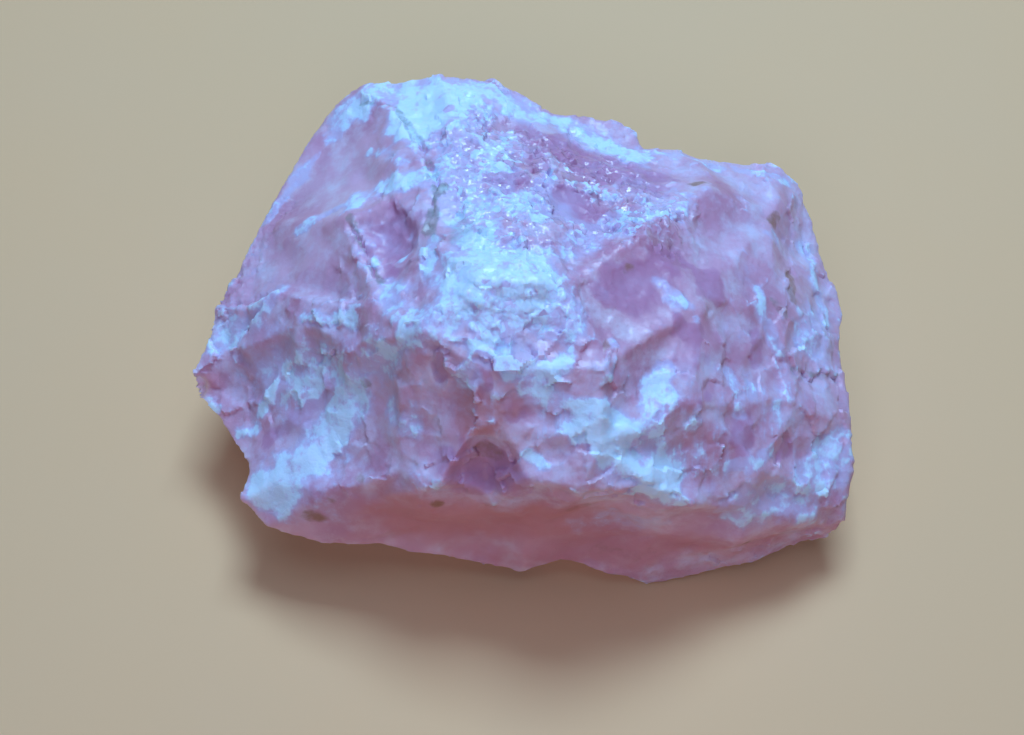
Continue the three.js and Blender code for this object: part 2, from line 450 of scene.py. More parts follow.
class Tree:
    """Adds and links the nodes of one node tree."""

    def __init__(self, tree: bpy.types.NodeTree) -> None:
        """Takes an empty or cleared tree."""
        self.tree = tree

    def node(self, kind: str, inputs: dict | None = None, **settings: object) -> bpy.types.Node:
        """Adds a node.

        Args:
            kind: The node's type name.
            inputs: Values or output sockets for its inputs, by name or number.
            settings: Properties of the node.

        Returns:
            The new node.
        """
        made = self.tree.nodes.new(kind)
        for name, value in settings.items():
            setattr(made, name, value)
        for key, value in (inputs or {}).items():
            self.feed(made.inputs[key], value)
        return made

    def feed(self, socket: Socket, value: object) -> None:
        """Links an output socket to an input, or sets the input's own value."""
        if isinstance(value, Socket):
            self.tree.links.new(value, socket)
        else:
            socket.default_value = value

    def math(self, operation: str, *values: object) -> Socket:
        """Returns the result of one scalar sum on sockets or numbers."""
        return self.node("ShaderNodeMath", dict(enumerate(values)), operation=operation).outputs[0]

    def plus(self, first: object, second: object) -> Socket:
        """Returns first + second."""
        return self.math("ADD", first, second)

    def minus(self, first: object, second: object) -> Socket:
        """Returns first - second."""
        return self.math("SUBTRACT", first, second)

    def times(self, first: object, second: object) -> Socket:
        """Returns first * second."""
        return self.math("MULTIPLY", first, second)

    def vector(self, operation: str, *values: object) -> Socket:
        """Returns the result of one vector sum on sockets or triples."""
        made = self.node("ShaderNodeVectorMath", dict(enumerate(values)), operation=operation)
        return made.outputs["Value" if operation in ("DOT_PRODUCT", "LENGTH") else "Vector"]

    def scaled(self, vector: object, factor: object) -> Socket:
        """Returns a vector times a number."""
        made = self.node("ShaderNodeVectorMath", {0: vector, "Scale": factor}, operation="SCALE")
        return made.outputs["Vector"]

    def step(self, value: object, low: object, high: object) -> Socket:
        """Returns a smooth rise from 0 at low to 1 at high."""
        made = self.node(
            "ShaderNodeMapRange",
            {"Value": value, "From Min": low, "From Max": high},
            interpolation_type="SMOOTHSTEP",
        )
        return made.outputs["Result"]

    def colour(self, factor: object, first: object, second: object) -> Socket:
        """Returns the first colour turned into the second by a factor."""
        made = self.node("ShaderNodeMix", data_type="RGBA")
        self.feed(made.inputs["Factor"], factor)
        self.feed(made.inputs[6], first)
        self.feed(made.inputs[7], second)
        return made.outputs[2]

    def noise(
        self, place: object, size: float, detail: float = 3.0, rough: float = 0.55, output: str = "Fac"
    ) -> Socket:
        """Returns a fractal noise from 0 to 1 whose largest swell is size millimetres.

        Args:
            place: The points.
            size: The largest swell in millimetres.
            detail: How many finer layers it has.
            rough: How strong each finer layer is, from 0 to 1.
            output: Fac for a number, or Color for three.

        Returns:
            The noise's output socket.
        """
        inputs = {"Vector": place, "Scale": 1.0 / (size * MM), "Detail": detail, "Roughness": rough}
        return self.node("ShaderNodeTexNoise", inputs).outputs[output]

    def around_zero(self, value: object, strength: object) -> Socket:
        """Returns a value from 0 to 1 moved to swing round 0, times a strength."""
        return self.times(self.minus(value, 0.5), strength)

    def planes(self, place: object, size: object, depth: object) -> Socket:
        """Returns the height of a pavement of tilted flat cells, with low steps where two cells meet.

        Args:
            place: The points.
            size: A cell's width, in the points' unit.
            depth: How far a cell's plane rises and falls, in any unit.

        Returns:
            The height socket, in depth's unit.
        """
        spread = self.scaled(place, self.math("DIVIDE", 1.0, size))
        cells = self.node("ShaderNodeTexVoronoi", {"Vector": spread, "Scale": 1.0})
        lean = self.vector("SUBTRACT", cells.outputs["Color"], (0.5, 0.5, 0.5))
        apart = self.vector("SUBTRACT", spread, cells.outputs["Position"])
        return self.times(self.times(self.vector("DOT_PRODUCT", lean, apart), 2.0), depth)

    def scoops(self, place: object, size: object, depth: object) -> Socket:
        """Returns the height of hollows that meet in sharp crests, as conchoidal chips do.

        Args:
            place: The points.
            size: A hollow's width, in the points' unit.
            depth: How far the crests stand over the hollows, in any unit.

        Returns:
            The height socket, in depth's unit, with its middle near 0.
        """
        spread = self.scaled(place, self.math("DIVIDE", 1.0, size))
        cells = self.node("ShaderNodeTexVoronoi", {"Vector": spread, "Scale": 1.0})
        bowl = self.times(cells.outputs["Distance"], cells.outputs["Distance"])
        return self.times(self.minus(bowl, 0.3), depth)

    def terraces(self, value: object, levels: float, crisp: float) -> Socket:
        """Returns a value from 0 to 1 cut into level terraces.

        Args:
            value: The value to cut.
            levels: How many terraces there are.
            crisp: The share of a terrace that is level.

        Returns:
            The cut value, with its middle at 0.
        """
        raised = self.times(value, levels)
        floor = self.math("FLOOR", raised)
        wall = self.step(self.minus(raised, floor), crisp, 1.0)
        return self.minus(self.math("DIVIDE", self.plus(floor, wall), levels), 0.5)


@dataclass(frozen=True)
class ReliefSizes:
    """The relief's lengths in millimetres, each one a named input of its tree."""

    scoop_size: float = 8.0
    scoop_depth: float = 1.0
    chip_size: float = 3.0
    chip_depth: float = 0.55
    flat_depth: float = 0.6
    step_size: float = 5.5
    step_depth: float = 0.35
    grain_size: float = 1.2
    grain_depth: float = 0.5
    swell_size: float = 5.0
    swell_depth: float = 0.5
    warp: float = 2.5
    rest_height: float = 2.2

    def inputs(self) -> dict[str, float]:
        """Returns each length in metres, by the name of its input."""
        return {f.name.replace("_", " ").title(): getattr(self, f.name) * MM for f in fields(self)}


@dataclass(frozen=True)
class Relief:
    """The rule that breaks the surface into scoops, chips, flats, steps and grain."""

    sizes: ReliefSizes = ReliefSizes()
    swirl_size: float = 9.0
    terraces: float = 6.0
    level_share: float = 0.82
    stepped: Span = (0.3, 1.0)
    edge_reach: int = 8
    seed: float = 3.0
    seed_shift: Triple = (0.037, 0.011, 0.023)

    def build(self) -> bpy.types.NodeTree:
        """Builds the tree, with an input for each of the sizes, the seed and the finish."""
        group = bpy.data.node_groups.new("Fracture Relief", "GeometryNodeTree")
        tree = Tree(group)
        group.interface.new_socket("Geometry", in_out="INPUT", socket_type="NodeSocketGeometry")
        for name in (*self.sizes.inputs(), "Seed"):
            group.interface.new_socket(name, in_out="INPUT", socket_type="NodeSocketFloat")
        group.interface.new_socket("Finish", in_out="INPUT", socket_type="NodeSocketMaterial")
        group.interface.new_socket("Geometry", in_out="OUTPUT", socket_type="NodeSocketGeometry")
        given = tree.node("NodeGroupInput").outputs

        place = tree.node("GeometryNodeInputPosition").outputs[0]
        swirl = tree.noise(place, self.swirl_size, detail=2.0, output="Color")
        swirl = tree.vector("SUBTRACT", swirl, (0.5, 0.5, 0.5))
        bent = tree.vector("ADD", place, tree.scaled(swirl, given["Warp"]))
        bent = tree.vector("ADD", bent, tree.scaled(self.seed_shift, given["Seed"]))

        hackle = self.attribute(tree, Skin.HACKLE)
        grain = self.attribute(tree, Skin.GRAIN)
        scoops = tree.scoops(bent, given["Scoop Size"], given["Scoop Depth"])
        chips = tree.scoops(bent, given["Chip Size"], given["Chip Depth"])
        flats = tree.planes(bent, given["Chip Size"], given["Flat Depth"])
        sugar = tree.planes(place, given["Grain Size"], given["Grain Depth"])
        slow = self.swell(tree, bent, given["Step Size"])
        steps = tree.times(tree.terraces(slow, self.terraces, self.level_share), given["Step Depth"])
        steps = tree.times(steps, tree.step(hackle, *self.stepped))
        swell = tree.around_zero(self.swell(tree, bent, given["Swell Size"]), given["Swell Depth"])
        broken = tree.plus(tree.plus(scoops, flats), tree.plus(chips, steps))
        height = tree.plus(tree.times(broken, hackle), tree.times(sugar, grain))
        height = tree.plus(height, swell)
        rise = tree.node("ShaderNodeSeparateXYZ", {0: place}).outputs["Z"]
        height = tree.times(height, tree.step(rise, 0.0, given["Rest Height"]))

        normal = tree.node("GeometryNodeInputNormal").outputs[0]
        moved = tree.node(
            "GeometryNodeSetPosition",
            {"Geometry": given["Geometry"], "Offset": tree.scaled(normal, height)},
        )
        marked = self.mark_edges(tree, moved.outputs[0])
        whole = tree.node("GeometryNodeRealizeInstances", {0: marked})
        dressed = tree.node(
            "GeometryNodeSetMaterial", {"Geometry": whole.outputs[0], "Material": given["Finish"]}
        )
        tree.node("NodeGroupOutput", {0: dressed.outputs[0]})
        return group

    def swell(self, tree: Tree, place: object, size: object) -> Socket:
        """Returns a slow noise from 0 to 1 whose swells have a linked size."""
        scale = tree.math("DIVIDE", 1.0, size)
        made = tree.node("ShaderNodeTexNoise", {"Vector": place, "Scale": scale, "Detail": 3.0})
        return made.outputs[0]

    def mark_edges(self, tree: Tree, stone: Socket) -> Socket:
        """Stores how far each point stands proud of its neighbourhood, in millimetres.

        Args:
            tree: The tree to add to.
            stone: The broken geometry.

        Returns:
            The geometry with the edge attribute.
        """
        place = tree.node("GeometryNodeInputPosition").outputs[0]
        normal = tree.node("GeometryNodeInputNormal").outputs[0]
        blurred = tree.node("GeometryNodeBlurAttribute", data_type="FLOAT_VECTOR")
        tree.feed(next(i for i in blurred.inputs if i.type == "VECTOR" and i.enabled), place)
        tree.feed(blurred.inputs["Iterations"], self.edge_reach)
        smooth = next(o for o in blurred.outputs if o.type == "VECTOR" and o.enabled)
        proud = tree.vector("DOT_PRODUCT", tree.vector("SUBTRACT", place, smooth), normal)
        stored = tree.node(
            "GeometryNodeStoreNamedAttribute",
            {"Geometry": stone, "Name": EDGE, "Value": tree.math("DIVIDE", proud, MM)},
            data_type="FLOAT",
            domain="POINT",
        )
        return stored.outputs[0]

    def attribute(self, tree: Tree, skin: Skin) -> Socket:
        """Returns a painted skin's amount at each point."""
        made = tree.node("GeometryNodeInputNamedAttribute", {"Name": skin.value}, data_type="FLOAT")
        return made.outputs["Attribute"]

    def apply(self, piece: Piece, finish: bpy.types.Material) -> None:
        """Runs the relief on a piece and keeps the result as its plain mesh.

        Args:
            piece: The object to break up.
            finish: The material that the tree sets.
        """
        modifier = piece.modifiers.new("relief", "NODES")
        modifier.node_group = self.build()
        values = {**self.sizes.inputs(), "Seed": self.seed, "Finish": finish}
        for item in modifier.node_group.interface.items_tree:
            if item.in_out == "INPUT" and item.name in values:
                modifier[item.identifier] = values[item.name]
        bake_modifiers(piece)


def bake_modifiers(piece: Piece) -> None:
    """Replaces a piece's mesh by its evaluated one and takes its modifiers off."""
    bpy.context.view_layer.update()
    evaluated = piece.evaluated_get(bpy.context.evaluated_depsgraph_get())
    mesh = bpy.data.meshes.new_from_object(evaluated)
    piece.modifiers.clear()
    piece.data = mesh
    mesh.name = piece.name


def triangle_count(mesh: bpy.types.Mesh) -> int:
    """Returns how many triangles a mesh's faces make."""
    return sum(len(face.vertices) - 2 for face in mesh.polygons)


def srgb(*channels: int) -> Colour:
    """Returns a screen colour, red, green and blue from 0 to 255, as linear numbers with full alpha."""
    return (*(((c / 255 + 0.055) / 1.055) ** 2.4 for c in channels), 1.0)


@dataclass(frozen=True)
class RoseQuartz:
    """The stone's finish: cloudy pink quartz, frosted where it is bruised, glassy where it is fresh,
    with painted sheen, edge highlights and shade in its colour.
    """

    body: Colour = srgb(211, 165, 192)
    deep: Colour = srgb(192, 134, 162)
    pale: Colour = srgb(218, 200, 220)
    # The frost's white and lavender, which also carry a painted sheen of the cool light.
    frost: Colour = srgb(206, 226, 250)
    thin_frost_and_sheen: Colour = srgb(196, 186, 226)
    glass: Colour = srgb(180, 118, 156)
    # Painted warm shade: the colour of the shaded front under warm bounce light.
    blush: Colour = srgb(196, 118, 120)
    iron: Colour = srgb(140, 96, 62)
    # Grey of the darker cracks and broken edges and of the painted shade beside the plateau.
    dirt: Colour = srgb(120, 122, 112)
    cloud_size: float = 14.0
    cloud_edge: Span = (0.35, 0.65)
    wisp_size: float = 4.5
    wisp_edge: Span = (0.42, 0.75)
    wisp_mix: float = 0.8
    least_wisps: float = 0.15
    glass_edge: Span = (0.2, 0.7)
    glass_mix: float = 0.85
    blush_mix: float = 0.75
    haze_wisps: float = 1.2
    veil_edge: Span = (0.1, 0.9)
    veil: float = 0.65
    white_edge: Span = (0.35, 1.0)
    frost_edge: Span = (-0.1, 0.95)
    frost_mix: float = 0.92
    iron_mix: float = 0.8
    dirt_mix: float = 0.75
    stain_size: float = 1.2
    stain_grit: float = 1.4
    stain_edge: Span = (0.0, 1.3)
    stain_limit: Span = (0.02, 0.5)

    worn_and_highlit_edge_span: Span = (0.02, 0.16)
    edge_frost_and_highlight: float = 0.25
    frost_gain: float = 1.25
    frost_floor: float = 0.36
    frost_most: float = 0.95
    frost_waves: Line = ((5.0, 2.2), (1.7, 2.4), (0.6, 0.9))
    density_edge: Span = (-0.25, 1.25)
    unrest_edge: Span = (0.1, 0.55)
    least_unrest: float = 0.3
    glass_clears: float = 0.9
    crumb: float = 0.9
    crumb_depth: float = 0.4
    crumb_contrast: float = 1.3
    streak_size: float = 1.0
    streak_squash: Triple = (1.0, 0.14, 0.14)
    streak_strength: float = 3.2

    glossy: float = 0.16
    worn: float = 0.42
    frosted: float = 0.5
    chip: float = 1.9
    chip_depth: float = 0.32
    tooth: float = 0.6
    tooth_depth: float = 0.08
    least_tooth: float = 0.15
    frost_tooth: float = 1.3
    bump: float = 0.9
    depth_of_light: float = 3.5
    subsurface: float = 0.45

    def build(self) -> bpy.types.Material:
        """Builds the material from the stone's painted skins and its own patterns."""
        material = bpy.data.materials.new("rose_quartz")
        material.use_nodes = True
        material.node_tree.nodes.clear()
        tree = Tree(material.node_tree)
        place = tree.node("ShaderNodeTexCoord").outputs["Object"]
        skin = {s: self.painted(tree, s.value) for s in Skin}
        clear = tree.step(skin[Skin.GLASS], *self.glass_edge)
        skin[Skin.GLASS] = tree.times(clear, skin[Skin.GLASS])
        frost = self.density(tree, place, skin)
        height = self.height(tree, place, skin, frost)
        bump = tree.node("ShaderNodeBump", {"Height": height, "Strength": self.bump, "Distance": 1.0})
        shader = tree.node(
            "ShaderNodeBsdfPrincipled",
            {
                "Base Color": self.tint(tree, place, skin, frost),
                "Roughness": self.roughness(tree, skin, frost),
                "Normal": bump.outputs[0],
                "IOR": 1.544,
                "Specular IOR Level": 0.38,
                "Subsurface Weight": self.subsurface,
                "Subsurface Radius": (1.0, 0.55, 0.6),
                "Subsurface Scale": self.depth_of_light * MM,
            },
        )
        tree.node("ShaderNodeOutputMaterial", {"Surface": shader.outputs[0]})
        return material

    def painted(self, tree: Tree, name: str) -> Socket:
        """Returns the attribute of that name at each point."""
        return tree.node("ShaderNodeAttribute", attribute_name=name).outputs["Fac"]

    def tint(self, tree: Tree, place: object, skin: dict, frost: object) -> Socket:
        """Mixes the stone's colour, from the pink inside to the stains on top, with painted sheen and
        painted shade mixed in.

        Args:
            tree: The material's tree.
            place: Object coordinates.
            skin: The painted skins' sockets.
            frost: How dense the frost and the painted sheen are.

        Returns:
            The colour socket.
        """
        cloud = tree.noise(place, self.cloud_size, detail=5.0, rough=0.6)
        wisp = tree.noise(place, self.wisp_size, detail=7.0, rough=0.65)
        milky = tree.minus(1.0, tree.math("MAXIMUM", skin[Skin.GLASS], skin[Skin.BLUSH]))
        colour = tree.colour(tree.step(cloud, *self.cloud_edge), self.body, self.deep)
        wisps = tree.times(tree.step(wisp, *self.wisp_edge), tree.plus(milky, self.least_wisps))
        colour = tree.colour(tree.times(wisps, self.wisp_mix), colour, self.pale)
        colour = tree.colour(tree.times(skin[Skin.GLASS], self.glass_mix), colour, self.glass)
        # Painted warm shade on the front face and in the hollow below the plateau.
        colour = tree.colour(tree.times(skin[Skin.BLUSH], self.blush_mix), colour, self.blush)
        # A thin lavender veil, partly painted cool light, then the frost's whites, partly painted
        # sheen.
        haze = tree.plus(skin[Skin.FROST], tree.around_zero(wisp, self.haze_wisps))
        veil = tree.times(tree.step(haze, *self.veil_edge), self.veil)
        colour = tree.colour(veil, colour, self.thin_frost_and_sheen)
        white = tree.colour(tree.step(frost, *self.white_edge), self.thin_frost_and_sheen, self.frost)
        cover = tree.times(tree.step(frost, *self.frost_edge), self.frost_mix)
        colour = tree.colour(cover, colour, white)
        iron = tree.times(self.stain(tree, place, skin[Skin.IRON]), self.iron_mix)
        colour = tree.colour(iron, colour, self.iron)
        # Darker grey along the cracks and broken edges, and painted shade beside the plateau.
        dirt = tree.times(self.stain(tree, place, skin[Skin.DIRT]), self.dirt_mix)
        return tree.colour(dirt, colour, self.dirt)

    def roughness(self, tree: Tree, skin: dict, frost: object) -> Socket:
        """Returns the roughness: worn at large, duller under frost, glossy on grain and cleavages."""
        rough = tree.plus(self.worn, tree.times(frost, self.frosted - self.worn))
        fresh = tree.math("MAXIMUM", skin[Skin.GRAIN], skin[Skin.GLINT])
        return tree.minus(rough, tree.times(fresh, self.worn - self.glossy))

    def height(self, tree: Tree, place: object, skin: dict, frost: object) -> Socket:
        """Returns the finest relief in metres: sugary crumbs, small chips and the frost's own tooth."""
        sugar = tree.planes(place, self.crumb * MM, self.crumb_depth * MM)
        sugar = tree.times(sugar, skin[Skin.GRAIN])
        tooth = tree.noise(place, self.tooth, detail=4.0, rough=0.6)
        tooth = tree.times(tooth, tree.plus(self.least_tooth, tree.times(frost, self.frost_tooth)))
        chips = tree.planes(place, self.chip * MM, self.chip_depth * MM)
        chips = tree.times(chips, skin[Skin.HACKLE])
        return tree.plus(tree.plus(sugar, tree.times(tooth, self.tooth_depth * MM)), chips)

    def stain(self, tree: Tree, place: object, amount: object) -> Socket:
        """Returns a soft-edged patch where its painted amount is more than slight: the iron stains, and
        the darker cracks and painted shade.
        """
        grit = tree.noise(place, self.stain_size, detail=4.0, rough=0.6)
        level = tree.plus(amount, tree.around_zero(grit, self.stain_grit))
        return tree.times(tree.step(level, *self.stain_edge), tree.step(amount, *self.stain_limit))

    def streaks(self, tree: Tree, place: object, amount: object) -> Socket:
        """Returns fine stripes that run down the south slope, where their painted amount lets them."""
        narrow = tree.vector("MULTIPLY", place, self.streak_squash)
        stripe = tree.noise(narrow, self.streak_size, detail=4.0, rough=0.6)
        return tree.times(tree.around_zero(stripe, self.streak_strength), amount)

    def density(self, tree: Tree, place: object, skin: dict) -> Socket:
        """Breaks the painted frost and sheen, with more on proud edges as wear and painted highlight,
        into clouds and crumbs.

        Args:
            tree: The material's tree.
            place: Object coordinates.
            skin: The painted skins' sockets.

        Returns:
            How dense the frost and the painted sheen are, from 0 to 1.
        """
        # Proud edges get more frost: whiter wear, and a painted highlight along the edges.
        worn_and_highlit_edge = tree.step(self.painted(tree, EDGE), *self.worn_and_highlit_edge_span)
        amount = tree.plus(skin[Skin.FROST], tree.times(worn_and_highlit_edge, self.edge_frost_and_highlight))
        unrest = tree.times(tree.step(amount, *self.unrest_edge), 1.0 - self.least_unrest)
        unrest = tree.plus(self.least_unrest, unrest)
        waves = 0.0
        for size, weight in self.frost_waves:
            waves = tree.plus(waves, tree.around_zero(tree.noise(place, size, rough=0.5), weight))
        cells = tree.node("ShaderNodeTexVoronoi", {"Vector": place, "Scale": 1.0 / (self.crumb * MM)})
        crumb = tree.node("ShaderNodeSeparateColor", {0: cells.outputs["Color"]}).outputs[0]
        crumb = tree.around_zero(crumb, skin[Skin.GRAIN])
        level = tree.minus(tree.times(amount, self.frost_gain), self.frost_floor)
        level = tree.plus(level, tree.times(waves, unrest))
        level = tree.plus(level, self.streaks(tree, place, skin[Skin.STREAK]))
        level = tree.plus(level, tree.times(crumb, self.crumb_contrast))
        clear = tree.minus(1.0, tree.times(skin[Skin.GLASS], self.glass_clears))
        return tree.times(tree.times(tree.step(level, *self.density_edge), clear), self.frost_most)


BASE_SKINS = {Skin.FROST: 0.29, Skin.HACKLE: 0.6, Skin.GRAIN: 0.12}

FACETS = (
    Facet(0.585, 0.855, 2.2),
    Facet(0.41, 0.77, 1.4),
    Facet(0.42, 0.905, 1.6),
    Facet(0.455, 0.365, 1.8),
    Facet(0.43, 0.255, 1.6),
    Facet(0.385, 0.295, 1.2),
    Facet(0.635, 0.77, 1.3),
    Facet(0.66, 0.65, 1.2),
    Facet(0.57, 0.75, 1.2),
    Facet(0.47, 0.675, 1.2),
)

